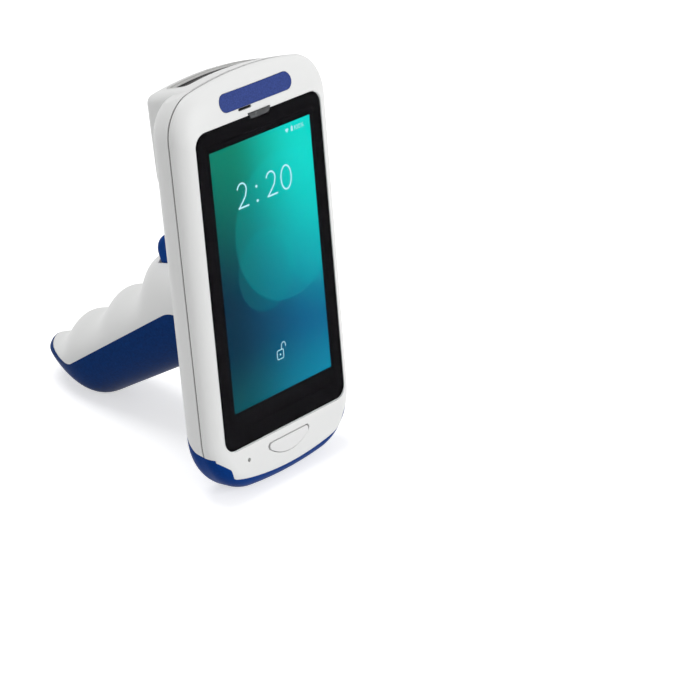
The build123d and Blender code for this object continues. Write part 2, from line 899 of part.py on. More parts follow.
def base_screws():
    """Screws that hold the saddle to the body."""
    screws = []
    floor = grip_root - screw_head_thick - 0.4
    for x, z in plate_points():
        top = peg(x, z, screw_head_radius, floor, floor + screw_head_thick)
        shank = peg(x, z, screw_radius, floor - 7.0, floor)
        socket = slab(Pos(x, z) * RegularPolygon(0.9, 6), floor + screw_head_thick - 0.8, floor + 5)
        screws.append(top + shank - socket)
    return Compound(children=screws)


def mount_screws():
    """Screws from inside the saddle into the two halves of the grip."""
    floor = battery_y + battery_thick + bay_clear
    screws = []
    for x, z in mount_points():
        top = peg(x, z, 1.9, floor - fit, floor)
        shank = peg(x, z, screw_radius, floor, grip_root + 4.5)
        screws.append(shank + top)
    return Compound(children=screws)


def handle_screws():
    """Screws that draw the palm half against the front half."""
    screws = []
    for s in handle_screw_stations:
        floor = -palm_side(s) + palm_sink
        top = handle_peg(s, 2.3, floor - screw_head_thick, floor)
        shank = handle_peg(s, screw_radius, floor, finger_depth(s) - 5.0)
        socket = handle_peg(s, 0.9, floor - 5, floor - screw_head_thick + 0.9)
        screws.append(top + shank - socket)
    return Compound(children=screws)


# ---- the trigger ----
def trigger_profile(inset=0.0, rear=-5.0):
    """Side view of the trigger: a hooked finger face over a round tip."""
    start = (rear, face_low - inset)
    end = (trigger_reach + 6, face_high + 0.5 - inset)
    middle = (8.0, (face_low + face_high) / 2 - face_hollow - inset)
    corner = (trigger_reach + 6, trigger_foot - inset)
    face = make_face([
        ThreePointArc(start, middle, end),
        Line(end, corner),
        Line(corner, (rear, trigger_foot - inset)),
        Line((rear, trigger_foot - inset), start),
    ])
    face &= pivot_disc(trigger_reach - inset)
    nose = face.vertices().filter_by(lambda v: v.X > pivot_s + 10 and v.Y > pivot_w + 5)
    return fillet(nose, trigger_nose - inset)


def trigger():
    lever = grip_prism(trigger_profile(), trigger_half)
    crests = lever.edges().filter_by(lambda e: abs(e.center().X) > trigger_half - 0.1)
    crests = crests.filter_by(lambda e: height_on_grip(e.center()) > 18.0 and e.length > 5)
    lever = fillet(crests, trigger_edge)
    lever -= grip_prism(trigger_profile(trigger_skin, -9.0), trigger_half - trigger_skin)
    rib = trigger_profile() & Pos(switch_s, pivot_w + 10) * Rectangle(1.8, 28.0)
    lever += grip_prism(rib, 3.0)
    for x in (-barrel_x, barrel_x):
        lever += Pos(x, 0, 0) * grip_prism(pivot_disc(barrel_radius), trigger_half - barrel_x)
    web = trigger_profile() & Pos(pivot_s, pivot_w + 5) * Rectangle(2 * barrel_radius, 10)
    for x in (-barrel_x, barrel_x):
        lever += Pos(x, 0, 0) * grip_prism(web, trigger_half - barrel_x)
    lever -= grip_prism(pivot_disc(pin_radius + pin_clear), 60)
    return lever & half_space_back(grip_root + 1.0)


def height_on_grip(point):
    return (point.Y - grip_y) * rake_sin + (point.Z - grip_z) * rake_cos


def trigger_pin():
    return grip_prism(pivot_disc(pin_radius), pin_half)


def trigger_spring():
    """Torsion spring round the pin: one leg under the trigger's face and one on the shelf."""
    inner = pin_radius + 0.35
    outer = inner + spring_wire
    coil = grip_prism(pivot_disc(outer) - pivot_disc(inner), spring_half)
    groove = pivot_disc(outer + 1) - pivot_disc(outer - 0.25 * spring_wire)
    turns = 5
    pitch = 2 * spring_half / turns
    for i in range(1, turns):
        coil -= Pos(i * pitch - spring_half, 0, 0) * grip_prism(groove, 0.1)
    high = Pos(pivot_s + 5.5, pivot_w + outer - spring_wire / 2) * Rectangle(11.0, spring_wire)
    low = make_face(Polyline(
        (pivot_s, pivot_w - inner - 0.2),
        (pivot_s + 1, pivot_w - inner - 0.2),
        (pivot_s + 3.2, shelf_w),
        (pivot_s + 2.2, shelf_w),
        close=True,
    ))
    leg_x = spring_half - spring_wire / 2
    spring = coil + Pos(leg_x, 0, 0) * grip_prism(high, spring_wire / 2)
    spring += Pos(-leg_x, 0, 0) * grip_prism(low, spring_wire / 2)
    return spring - grip_prism(pivot_disc(inner), 60)


def trigger_board():
    strip = Pos(switch_s + 0.8, shelf_w + 0.4) * Rectangle(12.5, 0.8)
    return grip_prism(strip, 7.0)


def trigger_switch():
    case = Pos(switch_s, shelf_w + 0.8 + 0.7) * Rectangle(5.0, 1.4)
    knob = Pos(switch_s, shelf_w + 2.2 + 0.2) * Rectangle(1.6, 0.4)
    return grip_prism(case, 2.5) + grip_prism(knob, 0.8)


def all_pieces():
    return {
        "front_shell": front_shell(),
        "rear_shell": rear_shell(),
        "seam_gasket": seam_gasket(),
        "bumper": bumper(),
        "cover_glass": cover_glass(),
        "glass_tape": glass_tape(),
        "display_panel": display_panel(),
        "display_frame": display_frame(),
        "badge_plate": badge_plate(),
        "status_lens": status_lens(),
        "speaker_mesh": speaker_mesh(),
        "earpiece_speaker": earpiece_speaker(),
        "scan_key": scan_key(),
        "key_board": key_board(),
        "key_switch": key_switch(),
        "microphone": microphone(),
        "main_board": main_board(),
        "board_shields": board_shields(),
        "display_flex": display_flex(),
        "scan_window": scan_window(),
        "window_bezel": window_bezel(),
        "scan_engine": scan_engine(),
        "engine_bracket": engine_bracket(),
        "battery_pack": battery_pack(),
        "battery_contacts": battery_contacts(),
        "charging_coil": charging_coil(),
        "coil_ferrite": coil_ferrite(),
        "antenna": antenna(),
        "vibration_motor": vibration_motor(),
        "shell_screws": shell_screws(),
        "grip_base": grip_base(),
        "grip_front_shell": grip_front_shell(),
        "grip_palm_shell": grip_palm_shell(),
        "base_screws": base_screws(),
        "mount_screws": mount_screws(),
        "handle_screws": handle_screws(),
        "trigger": trigger(),
        "trigger_pin": trigger_pin(),
        "trigger_spring": trigger_spring(),
        "trigger_board": trigger_board(),
        "trigger_switch": trigger_switch(),
    }


def lowest(shape, angle):
    """Height of a piece's lowest point once it is leaned back by an angle."""
    return (Rot(-angle, 0, 0) * shape).bounding_box().min.Z


def resting_lean(front_foot, rear_foot):
    """Angle at which both feet are level, found by halving."""
    low = 0.0
    high = 20.0
    for _ in range(14):
        angle = (low + high) / 2
        if lowest(rear_foot, angle) > lowest(front_foot, angle):
            low = angle
        else:
            high = angle
    return angle


def stand(pieces):
    """Leans the part back on its two feet and centres it over the origin."""
    angle = resting_lean(pieces["bumper"], pieces["grip_palm_shell"])
    turn = Rot(-angle, 0, 0)
    pieces = {name: turn * shape for name, shape in pieces.items()}
    floor = pieces["bumper"].bounding_box().min.Z + foot_flat
    below = Pos(0, 0, floor - 50) * Box(400, 400, 100)
    for name in ("bumper", "grip_palm_shell"):
        pieces[name] -= below
    boxes = [shape.bounding_box() for shape in pieces.values()]
    middle = (min(b.min.Y for b in boxes) + max(b.max.Y for b in boxes)) / 2
    place = Pos(0, -middle, -floor)
    report(angle, place * turn)
    return {name: place * shape for name, shape in pieces.items()}


def report(angle, place):
    pivot = place * Pos(0, *pivot_point())
    push = place * Pos(0, 1, 0)
    rest = place * Pos(0, 0, 0)
    print("lean", round(angle, 3))
    print("trigger pivot", [round(v, 3) for v in pivot.position])
    print("working origin", [round(v, 3) for v in rest.position])
    print("key direction", [round(v, 5) for v in push.position - rest.position])


def pivot_point():
    """The trigger's pivot as (y, z) in the working axes."""
    y = grip_y + pivot_s * rake_cos + pivot_w * rake_sin
    z = grip_z - pivot_s * rake_sin + pivot_w * rake_cos
    return y, z


def main():
    os.makedirs("parts", exist_ok=True)
    for name, shape in stand(all_pieces()).items():
        export_step(shape, f"parts/{name}.step")


main()
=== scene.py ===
import math

import bmesh
import bpy
from mathutils import Matrix, Vector


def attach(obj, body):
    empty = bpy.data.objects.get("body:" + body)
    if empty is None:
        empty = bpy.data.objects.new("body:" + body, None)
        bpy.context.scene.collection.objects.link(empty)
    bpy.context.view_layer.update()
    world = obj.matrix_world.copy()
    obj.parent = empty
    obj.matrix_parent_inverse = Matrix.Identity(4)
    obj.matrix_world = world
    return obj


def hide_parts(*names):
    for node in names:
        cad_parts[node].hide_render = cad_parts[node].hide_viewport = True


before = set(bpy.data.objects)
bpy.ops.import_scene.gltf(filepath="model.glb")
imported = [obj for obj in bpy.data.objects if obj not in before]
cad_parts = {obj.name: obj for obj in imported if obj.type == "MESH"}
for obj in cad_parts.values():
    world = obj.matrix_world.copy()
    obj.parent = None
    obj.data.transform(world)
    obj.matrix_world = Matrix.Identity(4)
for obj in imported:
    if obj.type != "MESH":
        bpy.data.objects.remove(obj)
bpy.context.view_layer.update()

# ---------------------------------------------------------------------------
# Camera
# A long lens that looks down on the terminal from its left front. Its turn is given by
# the view's way right and way in.
camera = bpy.data.cameras.new("camera")
camera.lens = 149.14
camera.sensor_width = 36.0
camera_place = bpy.data.objects.new("camera", camera)
bpy.context.scene.collection.objects.link(camera_place)
right = Vector((0.62552, -0.77529, 0.08739))
forward = Vector((0.71468, 0.52445, -0.46281))
up = right.cross(forward)
turn = Matrix((right, up, -forward)).transposed().to_4x4()
camera_place.matrix_world = Matrix.Translation((-0.721977, -0.609439, 0.527832)) @ turn
bpy.context.scene.camera = camera_place
bpy.context.scene.view_settings.view_transform = "Standard"

# ---------------------------------------------------------------------------
# Floor and light
# A white table top in an even white surround, a broad low lamp at the front right of the
# terminal, a weak one on its left, and one above and behind it.
def arithmetic(tree, operation, *values):
    """The result of a maths node over numbers and the outputs of other nodes."""
    node = tree.nodes.new("ShaderNodeMath")
    node.operation = operation
    for place, value in enumerate(values):
        if isinstance(value, (int, float)):
            node.inputs[place].default_value = value
        else:
            tree.links.new(value, node.inputs[place])
    return node.outputs[0]


def seen_share(tree):
    """1 for rays from the camera, also by way of a shiny or clear surface, and 0 for others."""
    rays = tree.nodes.new("ShaderNodeLightPath").outputs
    share = arithmetic(tree, "MAXIMUM", rays["Is Camera Ray"], rays["Is Glossy Ray"])
    return arithmetic(tree, "MAXIMUM", share, rays["Is Transmission Ray"])


floor_mesh = bpy.data.meshes.new("floor")
half = 6.0
floor_mesh.from_pydata([(-half, -half, 0), (half, -half, 0), (half, half, 0), (-half, half, 0)],
                       [], [(0, 1, 2, 3)])
floor = bpy.data.objects.new("floor", floor_mesh)
bpy.context.scene.collection.objects.link(floor)

floor_paint = bpy.data.materials.new("floor_white")
floor_paint.use_nodes = True
tree = floor_paint.node_tree
paint = tree.nodes["Principled BSDF"]
paint.inputs["Base Color"].default_value = (0.82, 0.82, 0.82, 1)
paint.inputs["Roughness"].default_value = 0.9
paint.inputs["Specular IOR Level"].default_value = 0.1
paint.inputs["Emission Color"].default_value = (1, 1, 1, 1)
floor_glow = 0.56
tree.links.new(arithmetic(tree, "MULTIPLY", seen_share(tree), floor_glow),
               paint.inputs["Emission Strength"])
floor_mesh.materials.append(floor_paint)

surround = bpy.data.worlds.new("surround")
surround.use_nodes = True
tree = surround.node_tree
sky = tree.nodes["Background"]
sky.inputs["Color"].default_value = (1, 1, 1, 1)
lift = tree.nodes.new("ShaderNodeMapRange")
lift.inputs["To Min"].default_value = 0.39
lift.inputs["To Max"].default_value = 1.0
tree.links.new(seen_share(tree), lift.inputs["Value"])
tree.links.new(lift.outputs["Result"], sky.inputs["Strength"])
bpy.context.scene.world = surround


def soft_lamp(name, place, aim, size, power):
    lamp = bpy.data.lights.new(name, "AREA")
    lamp.shape = "DISK"
    lamp.size = size
    lamp.energy = power
    stand = bpy.data.objects.new(name, lamp)
    facing = (Vector(aim) - Vector(place)).to_track_quat("-Z", "Y")
    stand.matrix_world = Matrix.Translation(place) @ facing.to_matrix().to_4x4()
    bpy.context.scene.collection.objects.link(stand)


soft_lamp("lamp_front", (0.42, -1.25, 0.52), (0, 0, 0.08), 0.9, 9.6)
soft_lamp("lamp_left", (-1.30, 0.10, 0.75), (0, 0, 0.08), 0.9, 1.0)
soft_lamp("lamp_top", (-0.1, 0.45, 1.35), (0, 0, 0.10), 0.8, 8.0)

# ---------------------------------------------------------------------------
# White shells of the body and the grip
# Injection-moulded polycarbonate blend with a fine spark-eroded grain; the two body
# shells are screwed together, and the grip's front half closes on its palm half.
def moulded_grain():
    """Fine pits, faint clouds in the colour, and edges lightened partly as rub wear and partly as a
    painted highlight, for every moulded skin.
    """
    group = bpy.data.node_groups.new("moulded_grain", "ShaderNodeTree")
    socket = group.interface.new_socket
    for name, value in (("Grain Size", 3000.0), ("Grain Depth", 0.2), ("Cloud Size", 60.0),
                        ("Cloudiness", 0.04), ("Edge Rub And Highlight", 0.08), ("Edge Radius", 0.0004),
                        ("Roughness", 0.45)):
        socket(name, in_out="INPUT", socket_type="NodeSocketFloat").default_value = value
    socket("Colour", in_out="INPUT", socket_type="NodeSocketColor")
    socket("Colour", in_out="OUTPUT", socket_type="NodeSocketColor")
    socket("Roughness", in_out="OUTPUT", socket_type="NodeSocketFloat")
    socket("Normal", in_out="OUTPUT", socket_type="NodeSocketVector")
    nodes = group.nodes
    link = group.links.new
    given = nodes.new("NodeGroupInput")
    result = nodes.new("NodeGroupOutput")
    place = nodes.new("ShaderNodeTexCoord")
    grain = nodes.new("ShaderNodeTexNoise")
    grain.inputs["Detail"].default_value = 3.0
    link(place.outputs["Object"], grain.inputs["Vector"])
    link(given.outputs["Grain Size"], grain.inputs["Scale"])
    rounded = nodes.new("ShaderNodeBevel")
    rounded.samples = 4
    link(given.outputs["Edge Radius"], rounded.inputs["Radius"])
    bump = nodes.new("ShaderNodeBump")
    bump.inputs["Distance"].default_value = 0.00006
    link(rounded.outputs["Normal"], bump.inputs["Normal"])
    link(grain.outputs["Fac"], bump.inputs["Height"])
    link(given.outputs["Grain Depth"], bump.inputs["Strength"])
    cloud = nodes.new("ShaderNodeTexNoise")
    cloud.inputs["Detail"].default_value = 5.0
    link(place.outputs["Object"], cloud.inputs["Vector"])
    link(given.outputs["Cloud Size"], cloud.inputs["Scale"])
    centred = arithmetic(group, "SUBTRACT", cloud.outputs["Fac"], 0.5)
    strength = arithmetic(group, "MULTIPLY_ADD", centred, given.outputs["Cloudiness"], 1.0)
    surface = nodes.new("ShaderNodeNewGeometry")
    level = nodes.new("ShaderNodeVectorMath")
    level.operation = "DOT_PRODUCT"
    link(surface.outputs["Normal"], level.inputs[0])
    link(rounded.outputs["Normal"], level.inputs[1])
    edge = nodes.new("ShaderNodeMapRange")
    edge.inputs["From Min"].default_value = 0.995
    edge.inputs["From Max"].default_value = 0.90
    link(level.outputs["Value"], edge.inputs["Value"])
    # Edges are lightened in cloudy patches: partly rub wear, partly a painted highlight along the
    # rims.
    patchy = arithmetic(group, "MULTIPLY", edge.outputs["Result"], cloud.outputs["Fac"])
    rub_and_highlight = arithmetic(group, "MULTIPLY", patchy, given.outputs["Edge Rub And Highlight"])
    tone = nodes.new("ShaderNodeVectorMath")
    tone.operation = "SCALE"
    link(given.outputs["Colour"], tone.inputs[0])
    link(arithmetic(group, "ADD", strength, rub_and_highlight), tone.inputs["Scale"])
    uneven = 0.18
    shine = arithmetic(group, "MULTIPLY_ADD", centred, uneven, given.outputs["Roughness"])
    link(tone.outputs[0], result.inputs["Colour"])
    link(shine, result.inputs["Roughness"])
    link(bump.outputs["Normal"], result.inputs["Normal"])
    return group


grain_group = moulded_grain()


def moulded(name, colour, roughness, grain_size=3000.0, grain_depth=0.2, cloudiness=0.04,
            edge_rub_and_highlight=0.08, cloud_size=60.0, shine=0.5, index=1.5):
    """A material with the moulded skin, from its colour, how fine and worn the skin is, and how
    much its edges are lightened as wear and painted highlight.
    """
    material = bpy.data.materials.new(name)
    material.use_nodes = True
    nodes = material.node_tree.nodes
    link = material.node_tree.links.new
    shader = nodes["Principled BSDF"]
    shader.inputs["Specular IOR Level"].default_value = shine
    shader.inputs["IOR"].default_value = index
    skin = nodes.new("ShaderNodeGroup")
    skin.node_tree = grain_group
    for name, value in (("Grain Size", grain_size), ("Grain Depth", grain_depth),
                        ("Cloud Size", cloud_size), ("Cloudiness", cloudiness),
                        ("Edge Rub And Highlight", edge_rub_and_highlight), ("Colour", (*colour, 1)), ("Roughness", roughness)):
        skin.inputs[name].default_value = value
    link(skin.outputs["Colour"], shader.inputs["Base Color"])
    link(skin.outputs["Roughness"], shader.inputs["Roughness"])
    link(skin.outputs["Normal"], shader.inputs["Normal"])
    return material


def finish_node(material, *names):
    """Gives CAD pieces their finish."""
    for name in names:
        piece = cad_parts[name]
        piece.data.materials.clear()
        piece.data.materials.append(material)


white_plastic = moulded("white_plastic", (0.80, 0.805, 0.80), 0.42, shine=0.4)
finish_node(white_plastic, "front_shell", "rear_shell", "grip_front_shell", "grip_base")

# ---------------------------------------------------------------------------
# Gasket in the seam
# Dark grey foam rubber ring, squeezed between the two shells. The microphone's boot is of
# the same rubber.
gasket_rubber = moulded("gasket_rubber", (0.16, 0.155, 0.15), 0.8, grain_size=1500.0,
                        grain_depth=0.5, shine=0.2)
finish_node(gasket_rubber, "seam_gasket", "microphone")

# ---------------------------------------------------------------------------
# Bumper
# Royal-blue elastomer boot moulded over the foot of the body.
# Its edges are lightened strongly: rub wear together with a painted highlight along the rims.
bumper_rubber = moulded("bumper_rubber", (0.0015, 0.038, 0.21), 0.38, grain_depth=0.3,
                        cloudiness=0.7, cloud_size=1400.0, edge_rub_and_highlight=0.8, shine=0.03)
finish_node(bumper_rubber, "bumper")

# ---------------------------------------------------------------------------
# Palm half of the grip and trigger
# The bumper's blue darkened as painted shade for the grip's shaded side, with a coarser grain where
# the hand holds it; the trigger is smoother.
# A darker copy of the bumper's blue: painted shade.
shaded_palm_plastic = moulded("shaded_palm_plastic", (0.0015, 0.030, 0.145), 0.36, grain_size=1600.0,
                       grain_depth=0.6, cloudiness=0.9, cloud_size=1200.0, edge_rub_and_highlight=0.8, shine=0.03)
finish_node(shaded_palm_plastic, "grip_palm_shell")
trigger_plastic = moulded("trigger_plastic", (0.002, 0.045, 0.24), 0.33, edge_rub_and_highlight=0.4, shine=0.03)
finish_node(trigger_plastic, "trigger")

# ---------------------------------------------------------------------------
# Screws, springs and other steel
# Dull steel for the screws, the trigger's pin and spring, and the pressed pieces inside.
# The sheet behind the earpiece slot is blackened.
screw_steel = bpy.data.materials.new("screw_steel")
screw_steel.use_nodes = True
nodes = screw_steel.node_tree.nodes
link = screw_steel.node_tree.links.new
shader = nodes["Principled BSDF"]
shader.inputs["Metallic"].default_value = 1.0
place = nodes.new("ShaderNodeTexCoord")
turning = nodes.new("ShaderNodeTexNoise")
turning.inputs["Scale"].default_value = 2500.0
tint = nodes.new("ShaderNodeValToRGB")
tint.color_ramp.elements[0].color = (0.10, 0.10, 0.11, 1)
tint.color_ramp.elements[1].color = (0.32, 0.32, 0.34, 1)
rub = nodes.new("ShaderNodeMapRange")
rub.inputs["To Min"].default_value = 0.25
rub.inputs["To Max"].default_value = 0.5
link(place.outputs["Object"], turning.inputs["Vector"])
link(turning.outputs["Fac"], tint.inputs["Fac"])
link(turning.outputs["Fac"], rub.inputs["Value"])
link(tint.outputs["Color"], shader.inputs["Base Color"])
link(rub.outputs["Result"], shader.inputs["Roughness"])
finish_node(screw_steel, "shell_screws", "base_screws", "mount_screws", "handle_screws",
            "trigger_pin", "trigger_spring", "display_frame", "board_shields", "engine_bracket",
            "vibration_motor", "key_switch")
black_steel = moulded("black_steel", (0.012, 0.012, 0.013), 0.7, grain_depth=0.3, shine=0.2)
finish_node(black_steel, "speaker_mesh")

# ---------------------------------------------------------------------------
# Cover glass
# Chemically strengthened sheet with a ground edge, bonded to the ledge of the front shell.
# Its index is far below that of real glass, so that the border behind it stays black.
glass = bpy.data.materials.new("cover_glass")
glass.use_nodes = True
nodes = glass.node_tree.nodes
link = glass.node_tree.links.new
shader = nodes["Principled BSDF"]
shader.inputs["Transmission Weight"].default_value = 1.0
shader.inputs["IOR"].default_value = 1.05
shader.inputs["Roughness"].default_value = 0.0
place = nodes.new("ShaderNodeTexCoord")
smear = nodes.new("ShaderNodeTexNoise")
smear.inputs["Scale"].default_value = 25.0
smear.inputs["Detail"].default_value = 6.0
film = nodes.new("ShaderNodeValToRGB")
film.color_ramp.elements[0].color = (1.0, 1.0, 1.0, 1)
film.color_ramp.elements[1].color = (0.93, 0.95, 0.96, 1)
link(place.outputs["Object"], smear.inputs["Vector"])
link(smear.outputs["Fac"], film.inputs["Fac"])
link(film.outputs["Color"], shader.inputs["Base Color"])
finish_node(glass, "cover_glass")

# ---------------------------------------------------------------------------
# Ink on the back of the glass
# Black border screen-printed on the glass round the picture. The ring of tape that bonds
# the glass is drawn in one piece with it.
lean = math.radians(12.233)
rest = Vector((0, -0.042082, 0.079643))


def on_display(x, y, z):
    """Turns millimetres across, into and up along the display into a place at rest in metres."""
    return Matrix.Rotation(-lean, 3, "X") @ (Vector((x, y, z)) / 1000) + rest


def rounded_outline(low_x, high_x, low_z, high_z, radius, steps=8):
    """The points of a rectangle with round corners, against the clock, in millimetres."""
    points = []
    corners = ((high_x, high_z, 0), (low_x, high_z, 90), (low_x, low_z, 180), (high_x, low_z, 270))
    for x, z, start in corners:
        centre_x = x - math.copysign(radius, x)
        centre_z = z - radius if start < 180 else z + radius
        for step in range(steps + 1):
            angle = math.radians(start + 90 * step / steps)
            points.append((centre_x + radius * math.cos(angle),
                           centre_z + radius * math.sin(angle)))
    return points


def new_piece(name, form, material, body):
    """Turns a bmesh in display millimetres into a finished piece that rides on a body."""
    for vertex in form.verts:
        vertex.co = on_display(*vertex.co)
    mesh = bpy.data.meshes.new(name)
    form.to_mesh(mesh)
    form.free()
    mesh.materials.append(material)
    piece = bpy.data.objects.new(name, mesh)
    bpy.context.scene.collection.objects.link(piece)
    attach(piece, body)
    return piece


ink = moulded("black_ink", (0.004, 0.0035, 0.0045), 0.6, grain_depth=0.0, shine=0.0,
              index=1.1)
ink_front = 0.01
ink_back = 0.07
tape_back = 0.2
half_screen = 26.75
half_height = 47.6


def add_loops(form, loops):
    """Joins outlines of equal length, given as lists of 3-D points, into a closed ring."""
    rings = [[form.verts.new(point) for point in loop] for loop in loops]
    for first, second in zip(rings, rings[1:] + rings[:1]):
        for step in range(len(first)):
            after = (step + 1) % len(first)
            form.faces.new((first[step], first[after], second[after], second[step]))


outer = rounded_outline(-33.0, 33.0, -60.8, 55.4, 4.8)
middle = rounded_outline(-29.0, 29.0, -54.4, 50.0, 1.0)
inner = rounded_outline(-half_screen, half_screen, -half_height, half_height, 0.02)
form = bmesh.new()
add_loops(form, [[(x, y, z) for x, z in line] for line, y in (
    (outer, ink_front), (outer, tape_back), (middle, tape_back), (middle, ink_back),
    (inner, ink_back), (inner, ink_front))])
bmesh.ops.recalc_face_normals(form, faces=form.faces)
border = new_piece("ink_border", form, ink, "terminal")
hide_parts("glass_tape")

# ---------------------------------------------------------------------------
# Display panel
# Lit liquid-crystal panel bonded behind the glass. Its picture is a plain wash from green
# to blue under three large pale discs, worked out from the place on the panel.
def self_lit(name, colour):
    """A dull black material that shows its own light and throws none on its neighbours."""
    material = bpy.data.materials.new(name)
    material.use_nodes = True
    shader = material.node_tree.nodes["Principled BSDF"]
    shader.inputs["Base Color"].default_value = (*colour, 1)
    shader.inputs["Roughness"].default_value = 0.6
    shader.inputs["Specular IOR Level"].default_value = 0.0
    shader.inputs["IOR"].default_value = 1.1
    shader.inputs["Emission Strength"].default_value = 1.0
    material.cycles.emission_sampling = "NONE"
    return material


panel = self_lit("display_picture", (0.004, 0.004, 0.005))
nodes = panel.node_tree.nodes
link = panel.node_tree.links.new
place = nodes.new("ShaderNodeTexCoord")
on_panel = nodes.new("ShaderNodeMapping")
on_panel.inputs["Scale"].default_value = (1000, 1000, 1000)
on_panel.inputs["Rotation"].default_value = (lean, 0, 0)
shift = Matrix.Rotation(lean, 4, "X") @ (rest * -1000)
on_panel.inputs["Location"].default_value = shift
link(place.outputs["Object"], on_panel.inputs["Vector"])
axes = nodes.new("ShaderNodeSeparateXYZ")
link(on_panel.outputs["Vector"], axes.inputs["Vector"])


def spread(value, low, high):
    """A share that rises smoothly from 0 at low to 1 at high."""
    node = nodes.new("ShaderNodeMapRange")
    node.interpolation_type = "SMOOTHSTEP"
    node.inputs["From Min"].default_value = low
    node.inputs["From Max"].default_value = high
    link(value, node.inputs["Value"])
    return node.outputs["Result"]


def wash(factor, first, second):
    """A mix of two colours, either of which may come from another node."""
    node = nodes.new("ShaderNodeMix")
    node.data_type = "RGBA"
    link(factor, node.inputs["Factor"])
    for socket, colour in ((node.inputs["A"], first), (node.inputs["B"], second)):
        if isinstance(colour, tuple):
            socket.default_value = (*colour, 1)
        else:
            link(colour, socket)
    return node.outputs["Result"]


def disc_on_panel(x, z, radius, edge):
    """1 inside a circle on the panel, in millimetres, fading to 0 over its edge."""
    away = nodes.new("ShaderNodeVectorMath")
    away.operation = "DISTANCE"
    flat = nodes.new("ShaderNodeCombineXYZ")
    link(axes.outputs["X"], flat.inputs["X"])
    link(axes.outputs["Z"], flat.inputs["Z"])
    link(flat.outputs["Vector"], away.inputs[0])
    away.inputs[1].default_value = (x, 0, z)
    return spread(away.outputs["Value"], radius + edge, radius - edge)


across = spread(axes.outputs["X"], -26.0, 27.0)
top = wash(spread(axes.outputs["X"], -18.0, 22.0), (0.0006, 0.240, 0.150), (0.001, 0.70, 0.61))
waist = wash(across, (0.0006, 0.029, 0.062), (0.0006, 0.125, 0.28))
bottom = wash(across, (0.001, 0.080, 0.098), (0.0006, 0.240, 0.38))
slant = 0.45
height = arithmetic(panel.node_tree, "MULTIPLY_ADD", axes.outputs["X"], slant, axes.outputs["Z"])
picture = wash(spread(height, -22.0, 50.0), waist, top)
picture = wash(spread(axes.outputs["Z"], -22.0, -52.0), picture, bottom)
disc_colour = (0.0, 0.74, 0.74)
disc_edge = 0.3
for x, z, radius, share in ((9.5, 12.0, 27.3, 0.11), (-3.0, -1.0, 15.0, 0.06),
                            (25.0, 3.0, 17.0, 0.05)):
    disc = disc_on_panel(x, z, radius, disc_edge)
    picture = wash(arithmetic(panel.node_tree, "MULTIPLY", disc, share), picture, disc_colour)
link(picture, nodes["Principled BSDF"].inputs["Emission Color"])

cell_width = 56.5
cell_foot, cell_top = -53.6, 49.1
cell_front, cell_back = 0.08, 2.0
form = bmesh.new()
bmesh.ops.create_cube(form, size=1.0)
for vertex in form.verts:
    vertex.co.x *= cell_width
    vertex.co.z = cell_top if vertex.co.z > 0 else cell_foot
    vertex.co.y = cell_front if vertex.co.y < 0 else cell_back
bmesh.ops.bevel(form, geom=form.edges, offset=0.03, segments=2, affect="EDGES")
cell = new_piece("display_cell", form, panel, "terminal")
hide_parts("display_panel")

# ---------------------------------------------------------------------------
# Figures and signs on the display
# The clock, the signal and battery signs with the charge, and an open padlock: pale strokes
# of light, here flat ribbons between the glass and the cell.
figure_front = 0.03
figure_back = 0.06
stroke = 0.62
pale = self_lit("pale_figures", (0.01, 0.01, 0.01))
nodes = pale.node_tree.nodes
link = pale.node_tree.links.new
place = nodes.new("ShaderNodeTexCoord")
dots = nodes.new("ShaderNodeTexNoise")
dots.inputs["Scale"].default_value = 900.0
shade = nodes.new("ShaderNodeValToRGB")
shade.color_ramp.elements[0].color = (0.38, 0.78, 0.88, 1)
shade.color_ramp.elements[1].color = (0.56, 0.92, 1.0, 1)
link(place.outputs["Object"], dots.inputs["Vector"])
link(dots.outputs["Fac"], shade.inputs["Fac"])
link(shade.outputs["Color"], nodes["Principled BSDF"].inputs["Emission Color"])


def arc(x, z, radius_x, radius_z, start, end, steps=20):
    """Points along part of an ellipse, angles in degrees against the clock from the right."""
    points = []
    for step in range(steps + 1):
        angle = math.radians(start + (end - start) * step / steps)
        points.append((x + radius_x * math.cos(angle), z + radius_z * math.sin(angle)))
    return points


def ribbon(form, points, width, closed=False):
    """A flat stroke of even width along the points, with round ends."""
    count = len(points)
    left = []
    right = []
    for step in range(count):
        back = points[(step - 1) % count] if closed or step else points[step]
        ahead = points[(step + 1) % count] if closed or step < count - 1 else points[step]
        way = Vector((ahead[0] - back[0], ahead[1] - back[1])).normalized()
        side = Vector((-way.y, way.x)) * width / 2
        left.append((points[step][0] + side.x, points[step][1] + side.y))
        right.append((points[step][0] - side.x, points[step][1] - side.y))
    if closed:
        add_loops(form, [[(x, y, z) for x, z in line] for line, y in (
            (left, figure_front), (left, figure_back), (right, figure_back),
            (right, figure_front))])
        return
    ends = []
    for end, before in ((points[-1], points[-2]), (points[0], points[1])):
        turn = math.degrees(math.atan2(end[1] - before[1], end[0] - before[0]))
        ends.append(arc(*end, width / 2, width / 2, turn - 90, turn + 90, 8))
    add_plate(form, right[1:-1] + ends[0] + left[-2:0:-1] + ends[1])


def add_plate(form, outline):
    """A thin plate with the given outline, from the front of the cell towards the glass."""
    front = [form.verts.new((x, figure_front, z)) for x, z in outline]
    back = [form.verts.new((x, figure_back, z)) for x, z in outline]
    form.faces.new(front)
    form.faces.new(back[::-1])
    for step in range(len(outline)):
        after = (step + 1) % len(outline)
        form.faces.new((front[step], back[step], back[after], front[after]))


def figure_two(left):
    """An open 2, from its hook over the shoulder and down to the foot."""
    hook = arc(left + 2.55, 30.65, 2.35, 2.45, 160, -20, 20)
    slope = [(left + 4.2, 28.2), (left + 2.6, 26.5), (left + 0.5, 24.55)]
    return hook + slope, [(left + 0.35, 24.5), (left + 5.5, 24.5)]


